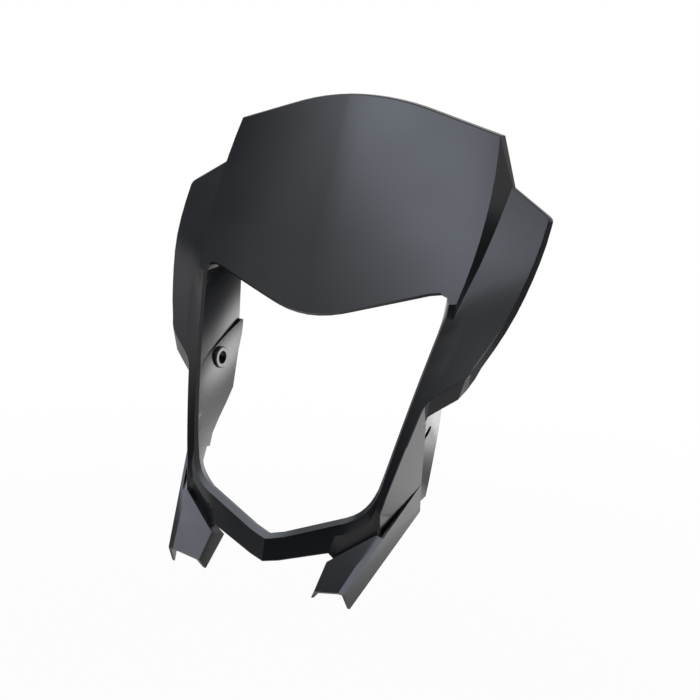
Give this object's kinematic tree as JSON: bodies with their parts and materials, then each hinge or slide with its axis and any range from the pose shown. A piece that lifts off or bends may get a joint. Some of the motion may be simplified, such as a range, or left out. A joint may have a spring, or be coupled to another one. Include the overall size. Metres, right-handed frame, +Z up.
{
  "type": "motorcycle headlight cowl",
  "caption": "Thin moulded cowl round a headlight: raked visor with a centre crease, swept wings, slim side rails, V-shaped chin and two prongs below",
  "frame": {"origin": "midway between the two cheek bosses, on their common axis", "axes": "X to the right across the cowl, seen from behind it; Y to the rear; Z up, as the cowl hangs on the motorcycle"},
  "size_m": [0.3024, 0.1367, 0.339],
  "materials": {
    "shell": "satin black moulded plastic"
  },
  "bodies": {
    "root": {"cowl": "shell"}
  },
  "joints": []
}
